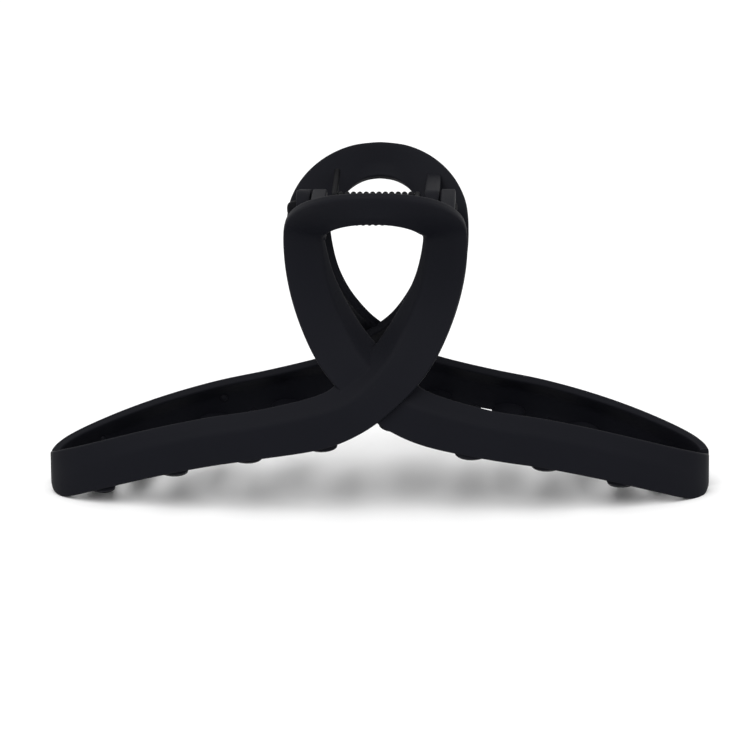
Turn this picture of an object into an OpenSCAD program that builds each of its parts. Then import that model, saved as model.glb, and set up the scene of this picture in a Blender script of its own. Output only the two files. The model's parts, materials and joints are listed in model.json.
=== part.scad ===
// Ribbon-loop claw clip: two identical jaw mouldings, a hinge pin and a torsion spring.
// +X runs along the clip, +Z is up, and the front jaw is on the -Y side.

/* [Clip] */
// Length over the closed jaws
clip_len = 132; // [108:0.1:160]
// Depth of each jaw's belly, from the middle plane to its outer face
belly_out = 18.6; // [16:0.1:24]
// Height of the hinge axis over the crossing's lower edge level
hinge_drop = 44.6; // [37:0.1:54]
// How far the over strand's arm drops from the middle to its tip
arm_drop = 14.5; // [9:0.1:17]
// How much further the under strand's arm drops
under_drop = 0.3; // [0:0.1:1.5]

/* [Jaw band] */
// Width of the band's main face on the arms
face_w = 6.5; // [5:0.1:8]
// Rise of the bevel above the main face
bevel_rise = 2.8; // [1.5:0.1:3.5]
// How far the bevel leans in
bevel_in = 3; // [1:0.1:4]
// Wall thickness of the band
wall = 1.8; // [1.4:0.1:2.4]
// Gap between the two jaws' tips when the clip is closed
tip_gap = 0.5; // [0.3:0.1:1]

/* [Handle loop] */
// Outer width of the handle loop
loop_w = 36.2; // [30:0.1:44]
// Height of the loop's top edge over the hinge axis
handle_rise = 7.9; // [6:0.1:11]
// How far the top of the handle stands out from the middle plane
handle_out = 22.4; // [19:0.1:26]
// Distance of the narrow waist's outer face from the middle plane
waist_out = 6.4; // [6.2:0.1:8]

/* [Hinge] */
// Diameter of the hinge pin
pin_d = 2.2; // [1.6:0.1:2.8]
// Diameter of the pin's head
pin_head_d = 3.2; // [2.8:0.1:4.5]
// Height of the pin's head
pin_head_h = 1.8; // [0.8:0.1:2]
// Outer diameter of the hinge knuckles
knuckle_d = 7.7; // [6.8:0.1:8]
// Width of each knuckle along the pin
knuckle_w = 2.8; // [2:0.1:3.2]
// Gap between neighbouring knuckles
knuckle_gap = 0.35; // [0.3:0.05:0.6]
// Distance from the hole's rim to the inner knuckle, outwards along the pin
knuckle_inset = 0.2; // [0.1:0.1:1.2]
// Radial clearance of the pin in the turning jaw's knuckles
run_gap = 0.05; // [0.02:0.01:0.1]
// Radial clearance of the pin in the jaw that holds it
hold_gap = 0.01; // [0.005:0.005:0.02]

/* [Spring] */
// Diameter of the spring wire
wire_d = 1.2; // [0.8:0.1:1.3]
// Outer diameter of the coil
coil_d = 6.8; // [5.6:0.1:7.2]
// Room between each end of the coil and the inner knuckle
coil_room = 1.5; // [0.8:0.1:3]
// Gap between the coil's turns
turn_gap = 0.06; // [0.04:0.01:0.3]
// Length of each spring leg
leg_len = 13; // [10:0.5:15]

/* [Teeth] */
// Number of teeth on each jaw
tooth_count = 8; // [6:1:10]
// Distance between neighbouring teeth of one jaw
tooth_pitch = 14.9; // [12:0.1:15]
// Sideways shift of one jaw's teeth from the clip's middle
tooth_shift = 4.1; // [3.6:0.1:5]
// Width of a tooth at its root
tooth_root_w = 6.8; // [4.4:0.1:7]
// Width of a tooth at its tip
tooth_tip_w = 3.4; // [1.8:0.1:3.6]
// Thickness of a tooth at its root
tooth_root_t = 2.8; // [2.2:0.1:3.4]
// Thickness of a tooth at its tip
tooth_tip_t = 1.5; // [1.2:0.1:2]
// How far a tooth dips below the line from its root to its tip
tooth_dip = 3.5; // [3:0.1:5.5]

/* [Hidden] */

$fn = 48;
half_len = clip_len / 2;
loop_r = loop_w / 2;
steps = 4;

// --- points are [x, out, z]: out is the distance from the middle plane, and z starts at the hinge axis ---

function lerp(a, b, t) = a + (b - a) * t;
function unit(v) = v / norm(v);

// Plan of the arms: a rounded spindle that is widest in the middle
plan_power = 0.435;
function plan(x) = pow(max(1 - pow(x / half_len, 2), 0), plan_power);
// How far the tip's lower corner is rounded off at x
tip_r = 3.6;
function tip_round(x) =
    let(u = max(abs(x) - half_len + tip_r, 0) / tip_r) tip_r * (1 - sqrt(max(1 - u * u, 0)));
// How much the main face narrows towards the tip, and how much the rim rises there
tip_narrow = 0.9;
rim_lift = 0.5;
// Height of the band's lower edge. The under strand's extra drop comes in over this share of the arm
drop_share = 0.45;
function low_z(x, more) =
    -hinge_drop - arm_drop * pow(x / half_len, 2) - more * (1 - exp(-pow(x / (drop_share * half_len), 2)));

// A station is the band's [outer edge, crease, rim]. The tip's round takes these shares of each
low_round = 0.9;
crease_round = 0.1;
rim_round = 0.2;
face_lean = 1; // how far the main face leans in from its lower edge to its crease
tip_upright = 0.4; // and the share of that which it loses towards the tip
function arm_station(x, more) =
    let(
        share = pow(x / half_len, 2), lean = face_lean * (1 - tip_upright * share),
        out = max(plan(x), 0.02), low = low_z(x, more)
    )
    [
        [x, belly_out * out + tip_gap / 2, low + low_round * tip_round(x)],
        [x, (belly_out - lean) * out + tip_gap / 2,
            low + face_w - crease_round * tip_round(x) - tip_narrow * share],
        [x, (belly_out - lean - bevel_in) * out + tip_gap / 2,
            low + face_w + bevel_rise - rim_round * tip_round(x) + rim_lift * pow(share, 2)],
    ];

// The loop's upper half, from its side at 90 degrees to its top at 0
side_drop = 3.8; // the loop's outer edge at its sides, below the hinge axis
hole_drop = 5; // the crease and the rim there
crease_share = 0.585; // half width of the crease's arch, as a share of the loop's
rim_share = 0.525;
rim_in = 1.6; // how much further in the rim lies at the sides
top_bevel = 2; // depth of the bevel at the loop's top
crease_lift = 0.6; // height of the crease and drop of the rim there, from the top edge less the hole's drop
rim_dip = 1.55;
function loop_station(a) =
    let(c = max(cos(a), 0), s = sin(a), reach = handle_out - waist_out)
    [
        [loop_r * s, waist_out + reach * pow(c, 1.4), -side_drop + (handle_rise + side_drop) * pow(c, 0.95)],
        [crease_share * loop_r * s, waist_out + (reach - top_bevel) * pow(c, 1.3),
            -hole_drop + (handle_rise + crease_lift) * c],
        [rim_share * loop_r * s, waist_out - rim_in + (reach - 1.2 * top_bevel) * c,
            -hole_drop + (handle_rise - rim_dip) * c],
    ];

// Waist and crossing, as shares of the loop's half width, of the way from waist to belly, and of the drop
cross = [
    [[-0.55, 1.00, 0.985], [-0.52, 0.88, 0.824], [-0.56, 0.62, 0.756]],
    [[-0.11, 0.98, 0.905], [-0.24, 0.82, 0.770], [-0.35, 0.46, 0.680]],
    [[0.25, 0.86, 0.795], [-0.02, 0.70, 0.690], [-0.13, 0.30, 0.612]],
    [[0.51, 0.69, 0.690], [0.18, 0.52, 0.595], [0.02, 0.14, 0.558]],
    [[0.71, 0.46, 0.565], [0.30, 0.30, 0.508], [0.155, -0.05, 0.493]],
    [[0.88, 0.20, 0.395], [0.455, 0.06, 0.384], [0.325, -0.24, 0.384]],
    [[0.98, 0.01, 0.226], [0.55, -0.06, 0.250], [0.455, -0.27, 0.260]],
];
function cross_point(p) =
    [p[0] * loop_r, lerp(waist_out, belly_out, p[1]), -p[2] * hinge_drop];

// Where the under strand passes behind the over strand, it lies this much further in
tuck = 1.5;
function tucked(points, depth) =
    [for (p = points) [p[0] + tuck_side * depth, p[1] - depth, p[2] + tuck_lift * depth]];
tuck_side = 0.15; // and moves sideways and up by these shares of that
tuck_lift = 0.2;
// The hole leans towards the under strand: each rim moves sideways by this much round the hole
hole_lean = 0.3;
function leaned(points, depth, share) =
    [for (j = [0 : 2]) points[j] + [(depth > 0 ? 1 : -1) * hole_lean * share * j / 2, 0, 0]];

arm_x = [0.9995, 0.997, 0.985, 0.95, 0.88, 0.77, 0.64, 0.49, 0.34];
loop_angles = [90, 72, 54, 36, 18, 0, -18];
function strand_stations(depth) = concat(
    [for (f = arm_x) arm_station(-f * half_len, depth > 0 ? under_drop : 0)],
    [for (i = [0 : len(cross) - 1])
        leaned(
            tucked([for (p = cross[i]) cross_point(p)], depth * max(0, 1 - pow((i - 2) / 3.5, 2))),
            depth, min(1, max(0, (i - 2) / 2))
        )],
    [for (a = loop_angles) leaned(loop_station(a), depth, sin(a))]
);

// A smooth curve through four neighbouring points
function blend(p, q, r, s, t) =
    0.5 * ((2 * q) + (r - p) * t + (2 * p - 5 * q + 4 * r - s) * t * t
        + (3 * q - p - 3 * r + s) * t * t * t);
function smooth_path(w) = [
    for (i = [0 : len(w) - 3], k = [0 : steps - 1])
        let(p = w[max(i - 1, 0)], t = k / steps)
        [for (j = [0 : 2]) blend(p[j], w[i][j], w[i + 1][j], w[i + 2][j], t)],
    w[len(w) - 2],
];

// The band's closed section at one station: outer edge, crease and rim, then back along the inside
edge_r = 0.35;
function section(s, along) =
    let(
        up = unit(s[1] - s[0]), over = unit(s[2] - s[1]),
        n_face = unit(cross(along, up)), n_bevel = unit(cross(along, over)),
        n_mid = unit(n_face + n_bevel)
    )
    [
        s[0] + edge_r * n_face, s[0] + edge_r * up, s[1], s[2] - edge_r * over,
        s[2] + edge_r * n_bevel, s[2] + (wall - edge_r) * n_bevel,
        s[2] + wall * n_bevel - edge_r * over,
        s[1] + wall * n_mid / (n_mid * n_face),
        s[0] + wall * n_face + edge_r * up, s[0] + (wall - edge_r) * n_face,
    ];
function rings(path) = [
    for (i = [0 : len(path) - 1])
        let(a = path[max(i - 1, 0)], b = path[min(i + 1, len(path) - 1)],
            along = i == len(path) - 1 ? [-1, 0, 0] : unit((b[0] - a[0]) + (b[1] - a[1])))
        section(path[i], along)
];

// A tube whose skin joins rings that all have the same number of points
module skin(rings) {
    n = len(rings[0]);
    last = len(rings) - 1;
    polyhedron(
        points = [for (r = rings, p = r) p],
        faces = concat(
            [[for (j = [0 : n - 1]) j]],
            [for (i = [0 : last - 1], j = [0 : n - 1], half = [0, 1])
                let(a = i * n + j, b = i * n + (j + 1) % n, c = a + n, d = b + n)
                half == 0 ? [a, d, b] : [a, c, d]],
            [[for (j = [n - 1 : -1 : 0]) last * n + j]]
        )
    );
}

// The over strand's arm lies on the +X side when the jaw is seen from inside
module strands() {
    strand(tuck);
    mirror([1, 0, 0]) strand(0);
}
module strand(depth) skin(rings(smooth_path(strand_stations(depth))));

// --- teeth ---

// A tooth is an arc that leaves the arm's lower edge, dips and rises to its tip
tooth_rings = 9;
root_lift = 0.8; // height of the tooth's root over the arm's lower edge, in the middle of the wall
tip_lift = 2.4; // height of its tip over that edge
root_depth = 0.6; // how deep in the wall the tooth starts, as a share of the wall
tuck_half = 10; // the under strand's tuck moves the roots within this distance of the middle
blunt = 0.6; // size of the tooth's end ring, as a share of the ring before it
function tooth_x(i) = tooth_shift + (i - tooth_count / 2) * tooth_pitch;
// The tip passes the middle plane by this share of the arm's depth at the tooth
tooth_reach = 0.6;
// The lower edge rises towards the notch under the crossing
notch_rise = 5.8;
notch_half = 7.5;
function tooth_extra(x) = x < 0 ? under_drop : 0;
function edge_z(x) = low_z(x, tooth_extra(x)) + notch_rise * exp(-pow(x / notch_half, 2));
// Where a tooth starts, in the middle of the wall
function tooth_root(x) = belly_out * plan(x) - root_depth * wall - tuck * exp(-pow(x / tuck_half, 4));
// Teeth close to the jaws' tips dip less, by up to this share
end_dip = 0.8;
function dip_at(x) = tooth_dip * (1 - end_dip * pow(x / half_len, 8));
function tooth_height(x, u) = edge_z(x) + lerp(root_lift, tip_lift, u) - dip_at(x) * 4 * u * (1 - u);
function tooth_ring(x, reach, u) =
    let(
        run = tooth_root(x) + reach,
        along = unit([0, -run * 0.01, tooth_height(x, u + 0.01) - tooth_height(x, u)]),
        out = cross([1, 0, 0], along),
        end = u > 0.99 ? blunt : 1,
        w = end * lerp(tooth_root_w, tooth_tip_w, u) / 2,
        t = end * lerp(tooth_root_t, tooth_tip_t, u) / 2
    )
    [for (k = [0 : 7])
        let(a = k * 45 + 22.5, dx = w * cos(a) / cos(22.5), dn = t * sin(a) / cos(22.5))
        [x + dx, lerp(tooth_root(x + dx), -reach, u), tooth_height(x, u)] + out * dn];
module tooth(x) {
    reach = tooth_reach * belly_out * plan(x);
    skin([for (i = [tooth_rings - 1 : -1 : 0]) tooth_ring(x, reach, i / (tooth_rings - 1))]);
}
module teeth() for (i = [0 : tooth_count - 1]) tooth(-tooth_x(i));

// --- hinge ---

knuckle_r = knuckle_d / 2;
knuckle_x = rim_share * loop_r + knuckle_inset;
outer_knuckle_x = knuckle_x + knuckle_w + knuckle_gap;
web_sink = 0.28; // how deep in the handle's wall the web ends, inwards and upwards, as a share of the wall
web_turn = 6; // how far round from the handle's outer edge it ends, in degrees of the loop
web_drop = 5; // its lower corner, below the axis
// The outer face of the handle's wall at x, at the loop's angle a
function face_at(a, x) =
    let(s = loop_station(a)) lerp(s[0], s[1], (s[0][0] - x) / (s[0][0] - s[1][0]));
// A knuckle with its web, from x0 to x0 + knuckle_w. The web ends inside the handle's wall
module knuckle(x0) {
    side = max(abs(x0), abs(x0 + knuckle_w));
    top = asin(min(side / loop_r, 1)) + web_turn;
    in_wall = [for (k = [0 : 4])
        let(p = face_at(lerp(top, 90, k / 4), side)) [p[1] - web_sink * wall, p[2] + web_sink * wall]];
    translate([x0, 0, 0]) rotate([90, 0, 90]) linear_extrude(knuckle_w) union() {
        circle(knuckle_r);
        polygon(concat(
            [[0, knuckle_r]], in_wall, [[waist_out - wall / 2, -web_drop], [0, -knuckle_r]]
        ));
    }
}
module bore(gap) rotate([0, 90, 0]) cylinder(d = pin_d + 2 * gap, h = loop_w, center = true);
module jaw(gap) {
    difference() {
        union() {
            strands();
            teeth();
            knuckle(knuckle_x);
            knuckle(-outer_knuckle_x - knuckle_w);
        }
        bore(gap);
    }
}

module front_jaw() color("#1e1f24") rotate([0, 0, 180]) jaw(run_gap);
module back_jaw() color("#1e1f24") jaw(hold_gap);

// --- pin and spring ---

head_gap = 0.15; // gap between the pin's head and the first knuckle
pin_proud = 0.3; // how far the pin stands out of the last knuckle
pin_start = -outer_knuckle_x - knuckle_w - head_gap;
pin_end = outer_knuckle_x + knuckle_w + pin_proud;
module hinge_pin() color("#26272c") {
    translate([pin_start, 0, 0]) rotate([0, 90, 0]) cylinder(d = pin_d, h = pin_end - pin_start);
    translate([pin_start - pin_head_h, 0, 0]) rotate([0, 90, 0])
        cylinder(d = pin_head_d, h = pin_head_h);
}

coil_r = (coil_d - wire_d) / 2;
coil_pitch = wire_d + turn_gap;
coil_turns = floor(2 * (knuckle_x - coil_room) / coil_pitch);
coil_len = coil_turns * coil_pitch;
turn_steps = 16;
wire_sides = 8;
// The coil starts and ends on top, where its two legs leave it towards the two handles
function coil_point(t) = [-coil_len / 2 + coil_pitch * t, coil_r * sin(-360 * t), coil_r * cos(360 * t)];
leg_rise = 0.12; // rise of a leg over its run
function leg_point(side, s) = [side * coil_len / 2, -side * s, coil_r + leg_rise * s];
function spring_path() = concat(
    [for (s = [leg_len, 2 * leg_len / 3, leg_len / 3]) leg_point(-1, s)],
    [for (i = [0 : coil_turns * turn_steps]) coil_point(i / turn_steps)],
    [for (s = [leg_len / 3, 2 * leg_len / 3, leg_len]) leg_point(1, s)]
);
function wire_rings(path) = [
    for (i = [0 : len(path) - 1])
        let(along = unit(path[min(i + 1, len(path) - 1)] - path[max(i - 1, 0)]),
            side = unit(cross(along, cross([1, 0, 0], along))), up = cross(along, side))
        [for (k = [0 : wire_sides - 1]) let(a = 360 * k / wire_sides)
            path[i] + wire_d / 2 * (side * cos(a) + up * sin(a))]
];
module torsion_spring() color("#3a3c42") skin(wire_rings(spring_path()));

// The clip stands on small flats at the tips of the lower arms
foot_flat = 0.15;
foot = min([for (s = strand_stations(tuck)) s[0][2]]) + foot_flat;
module stand() translate([0, 0, -foot]) children();
module on_feet() difference() {
    children();
    translate([-clip_len, -clip_len, foot - clip_len]) cube([2 * clip_len, 2 * clip_len, clip_len]);
}

stand() on_feet() front_jaw();
stand() on_feet() back_jaw();
stand() hinge_pin();
stand() torsion_spring();
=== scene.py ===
"""Ribbon-loop claw clip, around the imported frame.

It makes the two smooth jaw mouldings, their pin and spring, their finishes, the studio and the camera.
"""
import json
import math

import bmesh
import bpy
import numpy as np
from mathutils import Matrix, Vector


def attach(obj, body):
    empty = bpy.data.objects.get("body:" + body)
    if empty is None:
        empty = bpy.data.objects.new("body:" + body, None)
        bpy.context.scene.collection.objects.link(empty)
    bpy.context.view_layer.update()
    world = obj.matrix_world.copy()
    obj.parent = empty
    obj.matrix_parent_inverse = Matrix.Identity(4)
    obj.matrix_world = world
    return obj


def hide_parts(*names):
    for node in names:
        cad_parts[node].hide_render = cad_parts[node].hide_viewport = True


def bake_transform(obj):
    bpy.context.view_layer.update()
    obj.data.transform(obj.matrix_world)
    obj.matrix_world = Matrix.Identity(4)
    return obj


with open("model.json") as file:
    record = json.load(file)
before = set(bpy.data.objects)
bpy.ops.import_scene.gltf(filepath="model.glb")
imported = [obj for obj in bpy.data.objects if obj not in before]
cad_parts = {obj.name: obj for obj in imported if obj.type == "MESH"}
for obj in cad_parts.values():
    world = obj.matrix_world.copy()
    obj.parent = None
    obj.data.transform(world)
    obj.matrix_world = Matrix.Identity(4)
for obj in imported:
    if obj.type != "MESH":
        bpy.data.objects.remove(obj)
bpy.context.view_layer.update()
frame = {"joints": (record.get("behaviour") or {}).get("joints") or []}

MM = 0.001
HINGE = Vector(frame["joints"][0]["pos_m"])

# --- driving sizes in millimetres, as in the part's source ---

HALF_LEN = 66.0
BELLY_OUT = 18.6
HINGE_DROP = 44.6
ARM_DROP = 14.5
UNDER_DROP = 0.3
FACE_W = 6.5
BEVEL_RISE = 2.8
BEVEL_IN = 3.0
WALL = 1.8
TIP_GAP = 0.5
TIP_R = 3.6
LOOP_R = 18.1
HANDLE_RISE = 7.9
HANDLE_OUT = 22.4
WAIST_OUT = 6.4
PIN_R = 1.1
PIN_HEAD_R = 1.6
PIN_HEAD_H = 1.8
HEAD_GAP = 0.15
PIN_PROUD = 0.3
KNUCKLE_R = 3.85
KNUCKLE_W = 2.8
KNUCKLE_GAP = 0.35
KNUCKLE_X = 9.7025
RUN_GAP = 0.05
HOLD_GAP = 0.01
WIRE_R = 0.6
COIL_R = 2.8
COIL_TURNS = 13
COIL_PITCH = 1.26
LEG_LEN = 13.0
LEG_RISE = 0.12
TOOTH_COUNT = 8
TOOTH_PITCH = 14.9
TOOTH_SHIFT = 4.1
TOOTH_ROOT_W = 6.8
TOOTH_TIP_W = 3.4
TOOTH_ROOT_T = 2.8
TOOTH_TIP_T = 1.5
TOOTH_DIP = 3.5
TOOTH_LIFT = 2.4
TOOTH_REACH = 0.6
FOOT = -HINGE.z / MM

# --- rules of the jaw's shape, as in the part's source ---

PLAN_POWER = 0.435
DROP_SHARE = 0.45
TIP_NARROW = 0.9
RIM_LIFT = 0.5
LOW_ROUND, CREASE_ROUND, RIM_ROUND = 0.9, 0.1, 0.2
FACE_LEAN = 1.0
TIP_UPRIGHT = 0.4
SIDE_DROP = 3.8
HOLE_DROP = 5.0
CREASE_SHARE = 0.585
RIM_SHARE = 0.525
RIM_IN = 1.6
TOP_BEVEL = 2.0
CREASE_LIFT = 0.6
RIM_DIP = 1.55
TUCK = 1.5
TUCK_SIDE = 0.15
TUCK_LIFT = 0.2
HOLE_LEAN = 0.3
WEB_SINK = 0.28
WEB_TURN = 6.0
WEB_DROP = 5.0
ROOT_LIFT = 0.8
ROOT_DEPTH = 0.6
TUCK_HALF = 10.0
NOTCH_RISE = 5.8
NOTCH_HALF = 7.5
END_DIP = 0.8

# --- finishes ---


def add_group(name, inputs, outputs):
    """Returns a shader node group with named sockets, and its input and output nodes."""
    group = bpy.data.node_groups.new(name, "ShaderNodeTree")
    for label, kind, value in inputs:
        socket = group.interface.new_socket(label, in_out="INPUT", socket_type=kind)
        if value is not None:
            socket.default_value = value
    for label, kind in outputs:
        group.interface.new_socket(label, in_out="OUTPUT", socket_type=kind)
    return group, group.nodes.new("NodeGroupInput"), group.nodes.new("NodeGroupOutput")


def math_node(group, operation, a, b=None, clamp=False):
    """Returns the output of one Math node on a and b, which are sockets or plain numbers."""
    node = group.nodes.new("ShaderNodeMath")
    node.operation = operation
    node.use_clamp = clamp
    for socket, value in zip(node.inputs, (a, b)):
        if isinstance(value, (int, float)):
            socket.default_value = value
        elif value is not None:
            group.links.new(value, socket)
    return node.outputs[0]


def noise_node(group, coords, scale, detail, rough=0.55):
    """Returns the noise at coords. The scale is a socket or a plain number."""
    node = group.nodes.new("ShaderNodeTexNoise")
    node.inputs["Detail"].default_value = detail
    node.inputs["Roughness"].default_value = rough
    if isinstance(scale, (int, float)):
        node.inputs["Scale"].default_value = scale
    else:
        group.links.new(scale, node.inputs["Scale"])
    group.links.new(coords, node.inputs["Vector"])
    return node.outputs["Fac"]


def ramp_node(group, value, low, high):
    """Returns 0 where the value is below low, 1 above high, and a smooth step between them."""
    node = group.nodes.new("ShaderNodeMapRange")
    node.interpolation_type = "SMOOTHSTEP"
    node.inputs["From Min"].default_value = low
    node.inputs["From Max"].default_value = high
    group.links.new(value, node.inputs["Value"])
    return node.outputs["Result"]


def object_coords(group):
    return group.nodes.new("ShaderNodeTexCoord").outputs["Object"]


def make_grain_group():
    """Fine moulded grain: a height for bump, and a mottle that changes slowly over the surface."""
    group, given, out = add_group(
        "moulded_grain",
        [("Grain Scale", "NodeSocketFloat", 2600.0), ("Mottle Scale", "NodeSocketFloat", 70.0)],
        [("Height", "NodeSocketFloat"), ("Mottle", "NodeSocketFloat")],
    )
    coords = object_coords(group)
    fine = noise_node(group, coords, given.outputs["Grain Scale"], 3.0, 0.6)
    slow = noise_node(group, coords, given.outputs["Mottle Scale"], 5.0, 0.6)
    group.links.new(fine, out.inputs["Height"])
    group.links.new(slow, out.inputs["Mottle"])
    return group


def make_edge_wear_and_highlight_group():
    """Edge wear and painted edge highlight: the mesh's own edge mask, broken up so that the lighter edges
    look uneven.
    """
    group, given, out = add_group(
        "edge_wear_and_highlight",
        [("Amount", "NodeSocketFloat", 1.0), ("Break Scale", "NodeSocketFloat", 260.0)],
        [("Mask", "NodeSocketFloat")],
    )
    edge = group.nodes.new("ShaderNodeAttribute")
    edge.attribute_name = "edge_mask"
    broken = ramp_node(
        group, noise_node(group, object_coords(group), given.outputs["Break Scale"], 3.0), 0.25, 0.75
    )
    uneven = math_node(group, "ADD", math_node(group, "MULTIPLY", broken, 0.5), 0.5)
    mask = math_node(group, "MULTIPLY", edge.outputs["Fac"], uneven)
    mask = math_node(group, "MULTIPLY", mask, given.outputs["Amount"], clamp=True)
    group.links.new(mask, out.inputs["Mask"])
    return group


def make_dust_group():
    """Sparse fine specks of dust, and a soft haze that gathers on faces that look up."""
    group, given, out = add_group(
        "dust",
        [("Speck Scale", "NodeSocketFloat", 900.0), ("Amount", "NodeSocketFloat", 0.5)],
        [("Mask", "NodeSocketFloat")],
    )
    coords = object_coords(group)
    cells = group.nodes.new("ShaderNodeTexVoronoi")
    group.links.new(given.outputs["Speck Scale"], cells.inputs["Scale"])
    group.links.new(coords, cells.inputs["Vector"])
    near = ramp_node(group, cells.outputs["Distance"], 0.12, 0.03)
    patch = ramp_node(group, noise_node(group, coords, 330.0, 2.0), 0.56, 0.72)
    specks = math_node(group, "MULTIPLY", near, patch)
    normal = group.nodes.new("ShaderNodeNewGeometry")
    split = group.nodes.new("ShaderNodeSeparateXYZ")
    group.links.new(normal.outputs["Normal"], split.inputs[0])
    haze = math_node(group, "MULTIPLY", ramp_node(group, split.outputs["Z"], 0.2, 1.0), 0.16)
    total = math_node(group, "ADD", specks, haze)
    total = math_node(group, "MULTIPLY", total, given.outputs["Amount"], clamp=True)
    group.links.new(total, out.inputs["Mask"])
    return group


GROUPS = {
    "moulded_grain": make_grain_group(),
    "edge_wear_and_highlight": make_edge_wear_and_highlight_group(),
    "dust": make_dust_group(),
}


def place_group(tree, name, label, value):
    """Places a group's node in a material, with one of its inputs set by name."""
    node = tree.nodes.new("ShaderNodeGroup")
    node.node_tree = GROUPS[name]
    node.inputs[label].default_value = value
    return node


def mix_colour(tree, mask, base, over):
    """Returns base where the mask is 0 and over where it is 1. Each is a colour or a socket."""
    node = tree.nodes.new("ShaderNodeMix")
    node.data_type = "RGBA"
    tree.links.new(mask, node.inputs["Factor"])
    for socket, value in ((node.inputs["A"], base), (node.inputs["B"], over)):
        if isinstance(value, tuple):
            socket.default_value = (*value, 1.0)
        else:
            tree.links.new(value, socket)
    return node.outputs["Result"]


def make_finish(name, colours, rough, rough_span, grain, bump_mm, specular, wear_and_highlight, dust):
    """Makes a black finish with grain, a faint mottle, lighter edges that are partly wear and partly painted
    highlight, and a little dust.

    The colours are the base, what it mottles to, the lighter colour on sharp edges for wear and painted
    highlight, and the dust.
    """
    base, mottled, edge_colour_worn_and_highlit, dusty = colours
    material = bpy.data.materials.new(name)
    material.use_nodes = True
    tree = material.node_tree
    shader = tree.nodes["Principled BSDF"]
    shader.inputs["Specular IOR Level"].default_value = specular
    grains = place_group(tree, "moulded_grain", "Grain Scale", grain)
    edges = place_group(tree, "edge_wear_and_highlight", "Amount", wear_and_highlight)
    specks = place_group(tree, "dust", "Amount", dust)
    colour = mix_colour(tree, grains.outputs["Mottle"], base, mottled)
    # sharp edges turn lighter here: partly wear, partly painted highlight
    colour = mix_colour(tree, edges.outputs["Mask"], colour, edge_colour_worn_and_highlit)
    colour = mix_colour(tree, specks.outputs["Mask"], colour, dusty)
    tree.links.new(colour, shader.inputs["Base Color"])
    roughness = math_node(tree, "MULTIPLY", grains.outputs["Mottle"], rough_span)
    roughness = math_node(tree, "ADD", roughness, rough - rough_span / 2)
    polished = math_node(tree, "MULTIPLY", edges.outputs["Mask"], -0.1)
    tree.links.new(math_node(tree, "ADD", roughness, polished, clamp=True), shader.inputs["Roughness"])
    bump = tree.nodes.new("ShaderNodeBump")
    bump.inputs["Strength"].default_value = 0.5
    bump.inputs["Distance"].default_value = bump_mm * MM
    tree.links.new(grains.outputs["Height"], bump.inputs["Height"])
    tree.links.new(bump.outputs["Normal"], shader.inputs["Normal"])
    return material


# each finish: base, mottle, lighter edge colour (partly wear, partly painted highlight) and dust
SOFT_TOUCH_COLOURS = (
    (0.0038, 0.0041, 0.0063), (0.0053, 0.0056, 0.0084), (0.013, 0.013, 0.016), (0.03, 0.029, 0.03)
)
PIN_COLOURS = (
    (0.0022, 0.0023, 0.0032), (0.0036, 0.0037, 0.0048), (0.008, 0.008, 0.009), (0.012, 0.012, 0.013)
)
WIRE_COLOURS = (
    (0.0018, 0.0019, 0.0027), (0.003, 0.0031, 0.004), (0.006, 0.006, 0.007), (0.01, 0.01, 0.011)
)


def make_soft_touch_plastic():
    """Makes the jaws' dull rubbery black, with fine grain."""
    return make_finish(
        "soft_touch_plastic", SOFT_TOUCH_COLOURS, rough=0.6, rough_span=0.1, grain=2600.0,
        bump_mm=0.03, specular=0.06, wear_and_highlight=0.5, dust=0.3,
    )


def make_black_pin():
    """Makes the pin's satin black, with lighter edges on the head, partly rubbed and partly painted
    highlight.
    """
    return make_finish(
        "black_pin", PIN_COLOURS, rough=0.5, rough_span=0.12, grain=4200.0,
        bump_mm=0.01, specular=0.035, wear_and_highlight=0.5, dust=0.2,
    )


def make_spring_wire():
    """Makes the spring's darker satin black."""
    return make_finish(
        "spring_wire", WIRE_COLOURS, rough=0.5, rough_span=0.14, grain=5200.0,
        bump_mm=0.01, specular=0.025, wear_and_highlight=0.4, dust=0.15,
    )


# --- the band of a jaw ---
# Points are [x, out, z] in millimetres: out is the distance from the middle plane, and z starts at the hinge


def unit(v):
    """Returns each vector at length 1."""
    return v / np.linalg.norm(v, axis=-1, keepdims=True)


def plan(x):
    """Returns the arms' plan at x, a rounded spindle that is widest in the middle."""
    return np.maximum(1 - (x / HALF_LEN) ** 2, 0) ** PLAN_POWER


def tip_round(x):
    """Returns how far the tip's lower corner is rounded off at x."""
    u = max(abs(x) - HALF_LEN + TIP_R, 0) / TIP_R
    return TIP_R * (1 - math.sqrt(max(1 - u * u, 0)))


def low_z(x, more):
    """Returns the height of the band's lower edge at x, with the under strand's extra drop."""
    share = x / HALF_LEN
    return -HINGE_DROP - ARM_DROP * share**2 - more * (1 - math.exp(-((share / DROP_SHARE) ** 2)))


def arm_station(x, more):
    """Returns the band's lower edge, crease and rim on an arm."""
    share = (x / HALF_LEN) ** 2
    lean = FACE_LEAN * (1 - TIP_UPRIGHT * share)
    out = max(plan(x), 0.02)
    low = low_z(x, more)
    turned = tip_round(x)
    crease = low + FACE_W - CREASE_ROUND * turned - TIP_NARROW * share
    rim = low + FACE_W + BEVEL_RISE - RIM_ROUND * turned + RIM_LIFT * share**2
    return [
        [x, BELLY_OUT * out + TIP_GAP / 2, low + LOW_ROUND * turned],
        [x, (BELLY_OUT - lean) * out + TIP_GAP / 2, crease],
        [x, (BELLY_OUT - lean - BEVEL_IN) * out + TIP_GAP / 2, rim],
    ]


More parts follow.
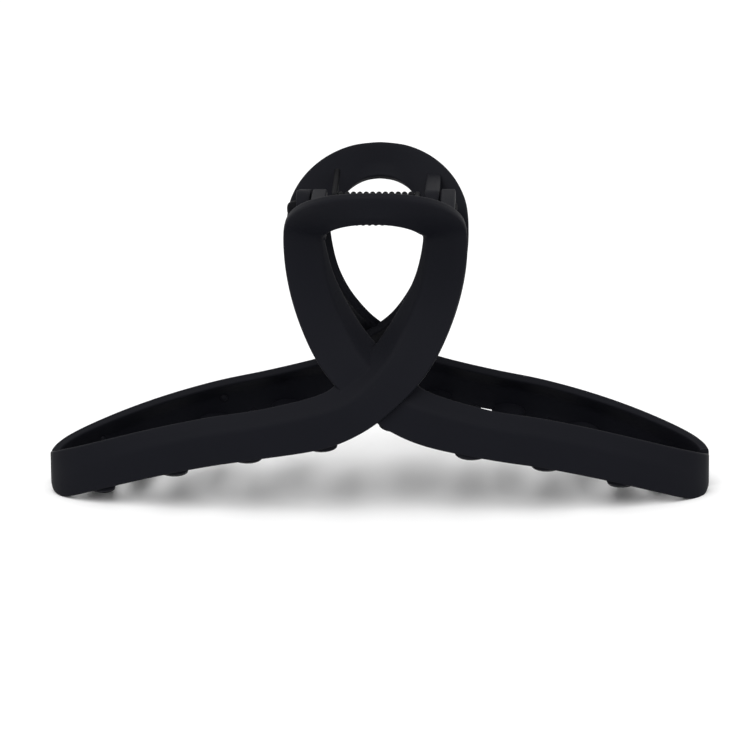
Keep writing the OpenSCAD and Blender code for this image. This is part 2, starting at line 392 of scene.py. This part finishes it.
def loop_station(angle):
    """Returns the handle loop's edge, crease and rim, from its side at 90 degrees to its top at 0."""
    c = max(math.cos(math.radians(angle)), 0)
    s = math.sin(math.radians(angle))
    reach = HANDLE_OUT - WAIST_OUT
    edge_out = WAIST_OUT + reach * c**1.4
    crease_out = WAIST_OUT + (reach - TOP_BEVEL) * c**1.3
    rim_out = WAIST_OUT - RIM_IN + (reach - 1.2 * TOP_BEVEL) * c
    return [
        [LOOP_R * s, edge_out, -SIDE_DROP + (HANDLE_RISE + SIDE_DROP) * c**0.95],
        [CREASE_SHARE * LOOP_R * s, crease_out, -HOLE_DROP + (HANDLE_RISE + CREASE_LIFT) * c],
        [RIM_SHARE * LOOP_R * s, rim_out, -HOLE_DROP + (HANDLE_RISE - RIM_DIP) * c],
    ]


# Waist and crossing, as shares of the loop's half width, of the way from waist to belly, and of the drop
CROSS = [
    [[-0.55, 1.00, 0.985], [-0.52, 0.88, 0.824], [-0.56, 0.62, 0.756]],
    [[-0.11, 0.98, 0.905], [-0.24, 0.82, 0.770], [-0.35, 0.46, 0.680]],
    [[0.25, 0.86, 0.795], [-0.02, 0.70, 0.690], [-0.13, 0.30, 0.612]],
    [[0.51, 0.69, 0.690], [0.18, 0.52, 0.595], [0.02, 0.14, 0.558]],
    [[0.71, 0.46, 0.565], [0.30, 0.30, 0.508], [0.155, -0.05, 0.493]],
    [[0.88, 0.20, 0.395], [0.455, 0.06, 0.384], [0.325, -0.24, 0.384]],
    [[0.98, 0.01, 0.226], [0.55, -0.06, 0.250], [0.455, -0.27, 0.260]],
]
ARM_SHARES = [0.9995, 0.997, 0.985, 0.95, 0.88, 0.77, 0.64, 0.49, 0.34]
LOOP_ANGLES = [90, 72, 54, 36, 18, 0]


def leaned(points, lean):
    """Returns the station with its rim moved sideways by lean, and its crease by half of that."""
    return [[p[0] + lean * j / 2, p[1], p[2]] for j, p in enumerate(points)]


def cross_station(row, sink):
    """Returns a station of the waist or the crossing, moved in, sideways and up as it sinks."""
    return [
        [
            side * LOOP_R + TUCK_SIDE * sink,
            WAIST_OUT + (BELLY_OUT - WAIST_OUT) * belly - sink,
            -drop * HINGE_DROP + TUCK_LIFT * sink,
        ]
        for side, belly, drop in row
    ]


def strand_stations(depth):
    """Returns half of the band, from its arm's tip to the top of the loop. The under strand lies deeper."""
    rows = [arm_station(-share * HALF_LEN, UNDER_DROP if depth else 0) for share in ARM_SHARES]
    lean = HOLE_LEAN if depth else -HOLE_LEAN
    for i, row in enumerate(CROSS):
        sink = depth * max(0, 1 - ((i - 2) / 3.5) ** 2)
        share = min(1, max(0, (i - 2) / 2))
        rows.append(leaned(cross_station(row, sink), lean * share))
    for angle in LOOP_ANGLES:
        rows.append(leaned(loop_station(angle), lean * math.sin(math.radians(angle))))
    return np.array(rows, float)


def smooth_path(rows, steps):
    """Returns a smooth curve through every station, with the same number of steps between neighbours."""
    padded = np.concatenate([[2 * rows[0] - rows[1]], rows, [2 * rows[-1] - rows[-2]]])
    path = []
    for i in range(1, len(padded) - 2):
        p, q, r, s = padded[i - 1:i + 3]
        for t in np.arange(steps) / steps:
            bend = (2 * p - 5 * q + 4 * r - s) * t**2
            twist = (3 * q - p - 3 * r + s) * t**3
            path.append(0.5 * (2 * q + (r - p) * t + bend + twist))
    path.append(rows[-1])
    return np.array(path)


def relaxed(path, keep, rounds):
    """Irons the small waves out of the path. Its ends stay, and so do the points that keep lists."""
    held = path.copy()
    for _ in range(rounds):
        path[1:-1] = 0.25 * path[:-2] + 0.5 * path[1:-1] + 0.25 * path[2:]
        path[keep] = held[keep]
    return path


def rounded(corner, before, after, radius, parts=4):
    """Returns a small curve in place of a corner, between the directions to its neighbours."""
    start = corner + radius * unit(before - corner)
    end = corner + radius * unit(after - corner)
    return [
        (1 - t) ** 2 * start + 2 * t * (1 - t) * corner + t**2 * end
        for t in np.linspace(0, 1, parts + 1)
    ]


EDGE_R = 0.5
CREASE_R = 0.7
FLAT_PARTS = 3


def band_section(station, along):
    """Returns the band's closed section: lower edge, crease and rim, then back along the inside."""
    low, crease, rim = station
    up, over = unit(crease - low), unit(rim - crease)
    face_in, bevel_in = unit(np.cross(along, up)), unit(np.cross(along, over))
    middle = unit(face_in + bevel_in)
    corners = [
        low, crease, rim, rim + WALL * bevel_in,
        crease + WALL * middle / (middle @ face_in), low + WALL * face_in,
    ]
    radii = [EDGE_R, CREASE_R, EDGE_R, EDGE_R, CREASE_R, EDGE_R]
    ring = []
    for i, corner in enumerate(corners):
        after = corners[(i + 1) % 6]
        ring += rounded(corner, corners[i - 1], after, radii[i])
        next_start = after + radii[(i + 1) % 6] * unit(corner - after)
        ring += [ring[-1] + (next_start - ring[-1]) * k / FLAT_PARTS for k in range(1, FLAT_PARTS)]
    return ring


def band_rings(steps=12, relax_rounds=10):
    """Returns the whole band's rings, from the over strand's tip round the loop to the under strand's."""
    over = smooth_path(strand_stations(0), steps)
    under = smooth_path(strand_stations(TUCK), steps)
    over[:, :, 0] *= -1
    path = np.concatenate([over, under[::-1][1:]])
    ends = np.r_[0:steps + 1, len(path) - steps - 1:len(path)]
    path = relaxed(path, ends, relax_rounds)
    rings = []
    for i in range(len(path)):
        ahead = path[min(i + 1, len(path) - 1)] - path[max(i - 1, 0)]
        rings.append(band_section(path[i], -unit(ahead[0] + ahead[1])))
    return np.array(rings)


def add_tube(bm, rings):
    """Adds a closed skin over rings that all have the same number of points."""
    verts = [[bm.verts.new(p) for p in ring] for ring in rings]
    count = len(verts[0])
    for near, far in zip(verts, verts[1:]):
        for j in range(count):
            k = (j + 1) % count
            bm.faces.new((near[j], near[k], far[k], far[j]))
    bm.faces.new(verts[0][::-1])
    bm.faces.new(verts[-1])


# --- fields: arithmetic on Geometry Nodes sockets ---


class Field:
    """A number that varies over a mesh inside one Geometry Nodes tree."""

    def __init__(self, tree, socket):
        self.tree = tree
        self.socket = socket

    def do(self, operation, *others):
        """Returns the result of one Math node on this field and the others."""
        node = self.tree.nodes.new("ShaderNodeMath")
        node.operation = operation
        for socket, value in zip(node.inputs, (self, *others)):
            if isinstance(value, Field):
                self.tree.links.new(value.socket, socket)
            else:
                socket.default_value = value
        return Field(self.tree, node.outputs[0])

    def __add__(self, other):
        return self.do("ADD", other)

    def __sub__(self, other):
        return self.do("SUBTRACT", other)

    def __rsub__(self, other):
        return self.do("MULTIPLY", -1.0).do("ADD", other)

    def __mul__(self, other):
        return self.do("MULTIPLY", other)

    def __truediv__(self, other):
        return self.do("DIVIDE", other)

    def __pow__(self, other):
        return self.do("POWER", other)


def add_tree(name, inputs):
    """Returns a Geometry Nodes tree, its named inputs as fields, and its output node."""
    tree = bpy.data.node_groups.new(name, "GeometryNodeTree")
    tree.interface.new_socket("Geometry", in_out="OUTPUT", socket_type="NodeSocketGeometry")
    for label, kind in inputs:
        tree.interface.new_socket(label, in_out="INPUT", socket_type=kind)
    given = tree.nodes.new("NodeGroupInput")
    fields = {label: Field(tree, given.outputs[label]) for label, _ in inputs}
    return tree, fields, tree.nodes.new("NodeGroupOutput")


def bake_tree(tree, name, values):
    """Returns a plain mesh object made by the tree, with its inputs set by name."""
    holder = bpy.data.objects.new(name, bpy.data.meshes.new(name + "_holder"))
    bpy.context.scene.collection.objects.link(holder)
    modifier = holder.modifiers.new("build", "NODES")
    modifier.node_group = tree
    for item in tree.interface.items_tree:
        if item.item_type == "SOCKET" and item.in_out == "INPUT":
            modifier[item.identifier] = values[item.name]
    evaluated = holder.evaluated_get(bpy.context.evaluated_depsgraph_get())
    mesh = bpy.data.meshes.new_from_object(evaluated)
    mesh.name = name
    holder.modifiers.clear()
    holder.data = mesh
    return holder


def position_axes(tree):
    """Returns the x, y and z of the mesh's points as fields."""
    split = tree.nodes.new("ShaderNodeSeparateXYZ")
    tree.links.new(tree.nodes.new("GeometryNodeInputPosition").outputs[0], split.inputs[0])
    return [Field(tree, output) for output in split.outputs]


def set_position(tree, geometry, x, y, z):
    """Returns the geometry with its points moved to the three fields."""
    join = tree.nodes.new("ShaderNodeCombineXYZ")
    for field, socket in zip((x, y, z), join.inputs):
        tree.links.new(field.socket, socket)
    node = tree.nodes.new("GeometryNodeSetPosition")
    tree.links.new(geometry, node.inputs["Geometry"])
    tree.links.new(join.outputs[0], node.inputs["Position"])
    return node.outputs[0]


def finish_tree(tree, geometry, material, out):
    """Adds Realize Instances and Set Material as the last two nodes."""
    real = tree.nodes.new("GeometryNodeRealizeInstances")
    painted = tree.nodes.new("GeometryNodeSetMaterial")
    tree.links.new(geometry, real.inputs[0])
    tree.links.new(real.outputs[0], painted.inputs["Geometry"])
    tree.links.new(material.socket, painted.inputs["Material"])
    tree.links.new(painted.outputs[0], out.inputs[0])


# --- teeth ---

ROUND_SHARE = 0.12


def add_root_line(tree, f):
    """Adds one point for each tooth's root along the arm. Each point remembers its own x as root_x."""
    line = tree.nodes.new("GeometryNodeMeshLine")
    start = tree.nodes.new("ShaderNodeCombineXYZ")
    step = tree.nodes.new("ShaderNodeCombineXYZ")
    first = (f["Count"] * f["Pitch"] * 0.5) - f["Shift"]
    tree.links.new(f["Count"].socket, line.inputs["Count"])
    tree.links.new(first.socket, start.inputs[0])
    tree.links.new((f["Pitch"] * -1.0).socket, step.inputs[0])
    tree.links.new(start.outputs[0], line.inputs["Start Location"])
    tree.links.new(step.outputs[0], line.inputs["Offset"])
    mark = tree.nodes.new("GeometryNodeStoreNamedAttribute")
    mark.data_type = "FLOAT"
    mark.domain = "POINT"
    mark.inputs["Name"].default_value = "root_x"
    tree.links.new(line.outputs[0], mark.inputs["Geometry"])
    tree.links.new(position_axes(tree)[0].socket, mark.inputs["Value"])
    return mark.outputs[0]


def add_unit_bars(tree, points):
    """Adds a bar of length 1 along y at each point, cut into rings that can be bent."""
    bar = tree.nodes.new("GeometryNodeMeshCylinder")
    bar.inputs["Vertices"].default_value = 20
    bar.inputs["Side Segments"].default_value = 22
    bar.inputs["Radius"].default_value = 1.0
    bar.inputs["Depth"].default_value = 1.0
    turn = tree.nodes.new("GeometryNodeTransform")
    turn.inputs["Rotation"].default_value = (math.pi / 2, 0, 0)
    turn.inputs["Translation"].default_value = (0, 0.5, 0)
    tree.links.new(bar.outputs["Mesh"], turn.inputs["Geometry"])
    spread = tree.nodes.new("GeometryNodeInstanceOnPoints")
    tree.links.new(points, spread.inputs["Points"])
    tree.links.new(turn.outputs[0], spread.inputs["Instance"])
    real = tree.nodes.new("GeometryNodeRealizeInstances")
    tree.links.new(spread.outputs[0], real.inputs[0])
    return real.outputs[0]


def spindle_field(at):
    """Returns the arms' plan as a field, which is plan() in nodes."""
    share = at * (1 / HALF_LEN)
    return (1.0 - share * share).do("MAXIMUM", 0.0) ** PLAN_POWER


def edge_height(root):
    """Returns the height of the arm's lower edge over a tooth's root, which rises towards the notch."""
    share = (root * (1 / HALF_LEN)).do("ABSOLUTE")
    hang = 1.0 - ((share * (1 / DROP_SHARE)) ** 2.0 * -1.0).do("EXPONENT")
    under = (root * -1.0).do("GREATER_THAN", 0.0) * UNDER_DROP
    notch = ((root * (1 / NOTCH_HALF)) ** 2.0 * -1.0).do("EXPONENT") * NOTCH_RISE
    return share * share * -ARM_DROP - HINGE_DROP - hang * under + notch


def make_teeth_tree():
    """Makes the row of curved teeth: unit bars, each bent from the arm's wall to past the middle."""
    number = "NodeSocketFloat"
    tree, f, out = add_tree("curved_teeth", [
        ("Count", "NodeSocketInt"), ("Pitch", number), ("Shift", number), ("Root Width", number),
        ("Tip Width", number), ("Root Thickness", number), ("Tip Thickness", number), ("Dip", number),
        ("Lift", number), ("Reach", number), ("Finish", "NodeSocketMaterial"),
    ])
    bars = add_unit_bars(tree, add_root_line(tree, f))
    named = tree.nodes.new("GeometryNodeInputNamedAttribute")
    named.data_type = "FLOAT"
    named.inputs["Name"].default_value = "root_x"
    root = Field(tree, named.outputs[0])
    x, u, z = position_axes(tree)
    # the end is rounded over the last part of the tooth
    over = ((u - (1 - ROUND_SHARE)) * (1 / ROUND_SHARE)).do("MAXIMUM", 0.0)
    cap = (1.0 - over * over).do("MAXIMUM", 0.0).do("SQRT")
    width = (f["Root Width"] + (f["Tip Width"] - f["Root Width"]) * u) * cap * 0.5
    thick = (f["Root Thickness"] + (f["Tip Thickness"] - f["Root Thickness"]) * u) * cap * 0.5
    here = root + (x - root) * width
    near = root * (1 / TUCK_HALF)
    tucked = (near * near * near * near * -1.0).do("EXPONENT") * TUCK
    wall = spindle_field(here) * BELLY_OUT - ROOT_DEPTH * WALL - tucked
    past = spindle_field(root) * f["Reach"] * -BELLY_OUT
    share = (root * (1 / HALF_LEN)).do("ABSOLUTE")
    # teeth close to the jaws' tips dip less
    dip = f["Dip"] * (1.0 - share ** 8.0 * END_DIP)
    lift = f["Lift"] - ROOT_LIFT
    height = edge_height(root) + ROOT_LIFT + lift * u - dip * 4.0 * u * (1.0 - u)
    slope = (lift - dip * 4.0 * (1.0 - u * 2.0)) / (past - wall)
    rise = z * thick / (slope * slope + 1.0).do("SQRT")
    bent = set_position(tree, bars, here, wall + (past - wall) * u - rise * slope, height + rise)
    finish_tree(tree, bent, f["Finish"], out)
    return tree


# --- knuckles and small marks on the jaw ---


def add_plate(bm, outline, x_low, x_high, soft):
    """Adds an outline in out and z, pulled along x, with all its edges softened."""
    verts = [bm.verts.new((x_low, p[0], p[1])) for p in outline]
    face = bm.faces.new(verts)
    pulled = bmesh.ops.extrude_face_region(bm, geom=[face])
    moved = [item for item in pulled["geom"] if isinstance(item, bmesh.types.BMVert)]
    bmesh.ops.translate(bm, verts=moved, vec=(x_high - x_low, 0, 0))
    far_rim = {e for v in moved for e in v.link_edges if e.other_vert(v) in moved}
    rims = list(set(face.edges) | far_rim)
    bmesh.ops.bevel(bm, geom=rims, offset=soft, segments=3, profile=0.5, affect="EDGES")


def face_at(angle, x):
    """Returns the outer face of the handle's wall at x, as out and z, at the loop's angle."""
    edge, crease, _ = loop_station(angle)
    share = (edge[0] - x) / (edge[0] - crease[0])
    return [edge[i] + (crease[i] - edge[i]) * share for i in (1, 2)]


def knuckle_outline(side):
    """Returns the knuckle's eye and its web, which ends inside the handle's wall beside the knuckle."""
    top = math.degrees(math.asin(side / LOOP_R)) + WEB_TURN
    sink = WEB_SINK * WALL
    in_wall = [face_at(90 + (top - 90) * k / 4, side) for k in range(5)]
    arc = [
        (KNUCKLE_R * math.cos(math.radians(a)), KNUCKLE_R * math.sin(math.radians(a)))
        for a in range(90, 271, 9)
    ]
    foot = [(WAIST_OUT - WALL / 2, -WEB_DROP)]
    return arc + foot + [(out - sink, z + sink) for out, z in in_wall]


def add_knuckle(bm, x_low, soft=0.35):
    """Adds a hinge knuckle from x_low, with softened edges."""
    part = bmesh.new()
    side = max(abs(x_low), abs(x_low + KNUCKLE_W))
    add_plate(part, knuckle_outline(side), x_low, x_low + KNUCKLE_W, soft)
    bmesh.ops.recalc_face_normals(part, faces=part.faces)
    join_parts(bm, part)


def join_parts(bm, part):
    """Adds the part to the mesh, and frees the part."""
    mesh = bpy.data.meshes.new("part")
    part.to_mesh(mesh)
    part.free()
    bm.from_mesh(mesh)
    bpy.data.meshes.remove(mesh)


# Each mark's place along the arm, its height over the lower edge, and its radius
EJECT_MARKS = [(-56.3, 5.0, 0.5), (-32.0, 4.7, 0.75), (26.8, 7.2, 0.75), (56.3, 7.5, 0.5)]
MARK_HEIGHT = 0.4
MARK_IN = 0.6


def add_eject_marks(bm):
    """Adds the small round marks that the mould's ejector pins left on the inside of the arms."""
    for x, rise, radius in EJECT_MARKS:
        out = BELLY_OUT * float(plan(x)) - MARK_IN - WALL
        slope = (float(plan(x + 0.1)) - float(plan(x - 0.1))) * BELLY_OUT / 0.2
        facing = Vector((slope, -1, 0)).normalized().to_track_quat("Z", "Y")
        part = bmesh.new()
        bmesh.ops.create_uvsphere(part, u_segments=16, v_segments=10, radius=1.0)
        size = Matrix.Diagonal((radius, radius, MARK_HEIGHT, 1))
        place = Matrix.Translation((x, out, low_z(x, 0) + rise))
        bmesh.ops.transform(part, matrix=place @ facing.to_matrix().to_4x4() @ size, verts=part.verts)
        join_parts(bm, part)


def add_edge_mask(mesh, shortest=0.25, sharpest=2.2):
    """Stores how sharply the surface turns round each point, as the mask that the edge wear and painted edge
    highlight follow.
    """
    bm = bmesh.new()
    bm.from_mesh(mesh)
    bm.normal_update()
    turn = np.zeros(len(bm.verts))
    for vert in bm.verts:
        turns = [e.calc_face_angle_signed(0.0) / max(e.calc_length(), shortest) for e in vert.link_edges]
        turn[vert.index] = max(turns, default=0.0)
    bm.free()
    mask = np.clip(turn / sharpest, 0, 1)
    attribute = mesh.attributes.new("edge_mask", "FLOAT", "POINT")
    attribute.data.foreach_set("value", mask.astype(np.float32))


def cut_bore(holder, gap):
    """Fuses the moulding's parts into one skin and cuts the pin's bore through the knuckles."""
    cutter_mesh = bpy.data.meshes.new("bore_cutter")
    bm = bmesh.new()
    bmesh.ops.create_cone(
        bm, cap_ends=True, segments=64, radius1=PIN_R + gap, radius2=PIN_R + gap,
        depth=2 * LOOP_R, matrix=Matrix.Rotation(math.pi / 2, 4, "Y"),
    )
    bm.to_mesh(cutter_mesh)
    bm.free()
    cutter = bpy.data.objects.new("bore_cutter", cutter_mesh)
    bpy.context.scene.collection.objects.link(cutter)
    modifier = holder.modifiers.new("bore", "BOOLEAN")
    modifier.operation = "DIFFERENCE"
    modifier.solver = "EXACT"
    modifier.use_self = True
    modifier.object = cutter
    evaluated = holder.evaluated_get(bpy.context.evaluated_depsgraph_get())
    mesh = bpy.data.meshes.new_from_object(evaluated)
    holder.modifiers.clear()
    holder.data = mesh
    bpy.data.objects.remove(cutter)


def tidy_skin(mesh, gap=0.003):
    """Welds the slivers that fusing leaves, and points every face outwards."""
    bm = bmesh.new()
    bm.from_mesh(mesh)
    bmesh.ops.remove_doubles(bm, verts=bm.verts, dist=gap)
    bmesh.ops.dissolve_degenerate(bm, dist=gap, edges=bm.edges)
    bmesh.ops.recalc_face_normals(bm, faces=bm.faces)
    bm.to_mesh(mesh)
    bm.free()


# Half the length of the row of knuckles along the pin
HINGE_HALF = KNUCKLE_X + 2 * KNUCKLE_W + KNUCKLE_GAP


def make_jaw(name, gap, material, teeth_tree):
    """Makes one jaw moulding in its own frame, in millimetres from the hinge axis."""
    teeth = bake_tree(teeth_tree, name + "_teeth", {
        "Count": TOOTH_COUNT, "Pitch": TOOTH_PITCH, "Shift": TOOTH_SHIFT,
        "Root Width": TOOTH_ROOT_W, "Tip Width": TOOTH_TIP_W,
        "Root Thickness": TOOTH_ROOT_T, "Tip Thickness": TOOTH_TIP_T,
        "Dip": TOOTH_DIP, "Lift": TOOTH_LIFT, "Reach": TOOTH_REACH, "Finish": material,
    })
    bm = bmesh.new()
    add_tube(bm, band_rings())
    bmesh.ops.recalc_face_normals(bm, faces=bm.faces)
    part = bmesh.new()
    part.from_mesh(teeth.data)
    bmesh.ops.remove_doubles(part, verts=part.verts, dist=0.001)
    bmesh.ops.recalc_face_normals(part, faces=part.faces)
    join_parts(bm, part)
    bpy.data.objects.remove(teeth)
    add_knuckle(bm, KNUCKLE_X)
    add_knuckle(bm, -HINGE_HALF)
    add_eject_marks(bm)
    mesh = bpy.data.meshes.new(name)
    bm.to_mesh(mesh)
    bm.free()
    jaw = bpy.data.objects.new(name, mesh)
    bpy.context.scene.collection.objects.link(jaw)
    cut_bore(jaw, gap)
    tidy_skin(jaw.data)
    add_edge_mask(jaw.data)
    return jaw


SHARP_FROM = 38


def place_piece(piece, material, half_turn=False):
    """Moves a piece from its own frame in millimetres to its place over the floor, in metres."""
    place = Matrix.Translation(HINGE) @ Matrix.Scale(MM, 4)
    if half_turn:
        place = place @ Matrix.Rotation(math.pi, 4, "Z")
    for vert in piece.data.vertices:
        vert.co.z = max(vert.co.z, FOOT)
    piece.data.transform(place)
    piece.data.materials.clear()
    piece.data.materials.append(material)
    piece.data.polygons.foreach_set("use_smooth", [True] * len(piece.data.polygons))
    piece.data.set_sharp_from_angle(angle=math.radians(SHARP_FROM))


# --- pin and spring ---

PIN_START = -HINGE_HALF - HEAD_GAP
PIN_END = HINGE_HALF + PIN_PROUD


PIN_SIDES = 64
PIN_TURNS = [2 * math.pi * k / PIN_SIDES for k in range(PIN_SIDES)]


def make_pin():
    """Makes the pin: a domed head with a soft rim, a straight shank and a chamfered end."""
    angles = np.radians(np.linspace(88, 12, 9))
    dome = [
        (PIN_START - PIN_HEAD_H * math.sin(a), PIN_HEAD_R * math.cos(a) ** 0.6) for a in angles
    ]
    soft_rim = [
        (PIN_START - 0.12, PIN_HEAD_R), (PIN_START - 0.02, PIN_HEAD_R - 0.08),
        (PIN_START, PIN_HEAD_R - 0.2),
    ]
    shank = [
        (PIN_START, PIN_R), (PIN_END - 0.25, PIN_R), (PIN_END - 0.05, PIN_R - 0.12),
        (PIN_END, PIN_R - 0.3),
    ]
    bm = bmesh.new()
    rings = [
        [(x, r * math.cos(turn), r * math.sin(turn)) for turn in PIN_TURNS]
        for x, r in dome + soft_rim + shank
    ]
    add_tube(bm, rings)
    bmesh.ops.recalc_face_normals(bm, faces=bm.faces)
    mesh = bpy.data.meshes.new("headed_pin")
    bm.to_mesh(mesh)
    bm.free()
    pin = bpy.data.objects.new("headed_pin", mesh)
    bpy.context.scene.collection.objects.link(pin)
    add_edge_mask(pin.data)
    return pin


def make_spring_tree():
    """Makes the tree of a wire swept along a close helix, with one straight leg at each end."""
    number = "NodeSocketFloat"
    tree, f, out = add_tree("torsion_coil", [
        ("Coil Radius", number), ("Turns", number), ("Pitch", number), ("Wire Radius", number),
        ("Leg Length", number), ("Leg Rise", number), ("Rings", "NodeSocketInt"),
        ("Sides", "NodeSocketInt"), ("Finish", "NodeSocketMaterial"),
    ])
    line = tree.nodes.new("GeometryNodeMeshLine")
    line.inputs["Offset"].default_value = (0, 0, 0)
    tree.links.new(f["Rings"].socket, line.inputs["Count"])
    curve = tree.nodes.new("GeometryNodeMeshToCurve")
    tree.links.new(line.outputs[0], curve.inputs[0])
    index = Field(tree, tree.nodes.new("GeometryNodeInputIndex").outputs[0])
    round_len = f["Coil Radius"] * f["Turns"] * (2 * math.pi)
    total = round_len + f["Leg Length"] * 2.0
    run = index / (f["Rings"] - 1.0) * total
    on_coil = (run - f["Leg Length"]).do("MAXIMUM", 0.0).do("MINIMUM", round_len)
    angle = on_coil / f["Coil Radius"]
    back = (f["Leg Length"] - run).do("MAXIMUM", 0.0)
    front = (run - f["Leg Length"] - round_len).do("MAXIMUM", 0.0)
    x = (on_coil / round_len - 0.5) * f["Pitch"] * f["Turns"]
    y = angle.do("SINE") * f["Coil Radius"] * -1.0 + back - front
    z = angle.do("COSINE") * f["Coil Radius"] + (back + front) * f["Leg Rise"]
    bent = set_position(tree, curve.outputs[0], x, y, z)
    circle = tree.nodes.new("GeometryNodeCurvePrimitiveCircle")
    tree.links.new(f["Sides"].socket, circle.inputs["Resolution"])
    tree.links.new(f["Wire Radius"].socket, circle.inputs["Radius"])
    skin = tree.nodes.new("GeometryNodeCurveToMesh")
    skin.inputs["Fill Caps"].default_value = True
    tree.links.new(bent, skin.inputs["Curve"])
    tree.links.new(circle.outputs[0], skin.inputs["Profile Curve"])
    finish_tree(tree, skin.outputs[0], f["Finish"], out)
    return tree


def make_spring(material):
    """Makes the torsion spring in its own frame, in millimetres from the hinge axis."""
    spring = bake_tree(make_spring_tree(), "wire_spring", {
        "Coil Radius": COIL_R, "Turns": float(COIL_TURNS), "Pitch": COIL_PITCH,
        "Wire Radius": WIRE_R, "Leg Length": LEG_LEN, "Leg Rise": LEG_RISE,
        "Rings": 760, "Sides": 18, "Finish": material,
    })
    tidy_skin(spring.data)
    add_edge_mask(spring.data)
    return spring


# --- studio ---


def add_area(name, place, aim, size, power):
    """Adds a square soft light at a place, turned to its aim."""
    light = bpy.data.lights.new(name, "AREA")
    light.shape = "SQUARE"
    light.size = size
    light.energy = power
    lamp = bpy.data.objects.new(name, light)
    lamp.location = place
    lamp.rotation_euler = (Vector(aim) - Vector(place)).to_track_quat("-Z", "Y").to_euler()
    bpy.context.scene.collection.objects.link(lamp)


FLOOR_HALF = 6.0
FLOOR_GREY = (0.92, 0.92, 0.92, 1)
STUDIO_CENTRE = (0, 0, 0.035)


def make_studio():
    """Makes the pale floor, the white air and two soft lights."""
    floor_mesh = bpy.data.meshes.new("studio_floor")
    bm = bmesh.new()
    bmesh.ops.create_grid(bm, x_segments=1, y_segments=1, size=FLOOR_HALF)
    bm.to_mesh(floor_mesh)
    bm.free()
    floor = bpy.data.objects.new("studio_floor", floor_mesh)
    bpy.context.scene.collection.objects.link(floor)
    paint = bpy.data.materials.new("pale_floor")
    paint.use_nodes = True
    shader = paint.node_tree.nodes["Principled BSDF"]
    shader.inputs["Base Color"].default_value = FLOOR_GREY
    shader.inputs["Roughness"].default_value = 0.9
    shader.inputs["Specular IOR Level"].default_value = 0.1
    floor_mesh.materials.append(paint)
    world = bpy.data.worlds.new("studio_air")
    world.use_nodes = True
    air = world.node_tree.nodes["Background"]
    air.inputs["Color"].default_value = (1, 1, 1, 1)
    air.inputs["Strength"].default_value = 1.0
    bpy.context.scene.world = world
    bpy.context.scene.view_settings.view_transform = "Standard"
    add_area("key_light", (-0.25, -0.5, 0.9), STUDIO_CENTRE, size=0.9, power=5.0)
    add_area("fill_light", (0.6, -0.7, 0.5), STUDIO_CENTRE, size=0.7, power=1.5)


CAMERA_AZIMUTH = 2.5
CAMERA_RISE = 14.5
CAMERA_DISTANCE = 0.9
CAMERA_ROLL = 0.7
CAMERA_LENS = 221.9
AIM = HINGE + Vector((-0.0016, 0, -0.0332))


def make_camera():
    """Makes the camera in front of the clip and a little above it."""
    azimuth = math.radians(CAMERA_AZIMUTH)
    rise = math.radians(CAMERA_RISE)
    flat = math.cos(rise)
    away = Vector((math.sin(azimuth) * flat, -math.cos(azimuth) * flat, math.sin(rise)))
    camera = bpy.data.cameras.new("view_camera")
    camera.lens = CAMERA_LENS
    camera.clip_start = 0.05
    holder = bpy.data.objects.new("view_camera", camera)
    holder.location = HINGE + away * CAMERA_DISTANCE
    turn = (AIM - holder.location).to_track_quat("-Z", "Y").to_matrix().to_4x4()
    roll = Matrix.Rotation(math.radians(-CAMERA_ROLL), 4, "Z")
    holder.matrix_world = Matrix.Translation(holder.location) @ turn @ roll
    bpy.context.scene.collection.objects.link(holder)
    bpy.context.scene.camera = holder


# --- assembly ---

make_camera()
make_studio()
soft_touch = make_soft_touch_plastic()
pin_black = make_black_pin()
wire_black = make_spring_wire()
teeth_tree = make_teeth_tree()

front_jaw = make_jaw("front_jaw_moulding", RUN_GAP, soft_touch, teeth_tree)
place_piece(front_jaw, soft_touch, half_turn=True)
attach(front_jaw, "front_jaw")
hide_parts("front_jaw")

back_jaw = make_jaw("back_jaw_moulding", HOLD_GAP, soft_touch, teeth_tree)
place_piece(back_jaw, soft_touch)
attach(back_jaw, "back_jaw")
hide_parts("back_jaw")

pin = make_pin()
place_piece(pin, pin_black)
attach(pin, "back_jaw")
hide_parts("hinge_pin")

spring = make_spring(wire_black)
place_piece(spring, wire_black)
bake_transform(spring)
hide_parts("torsion_spring")
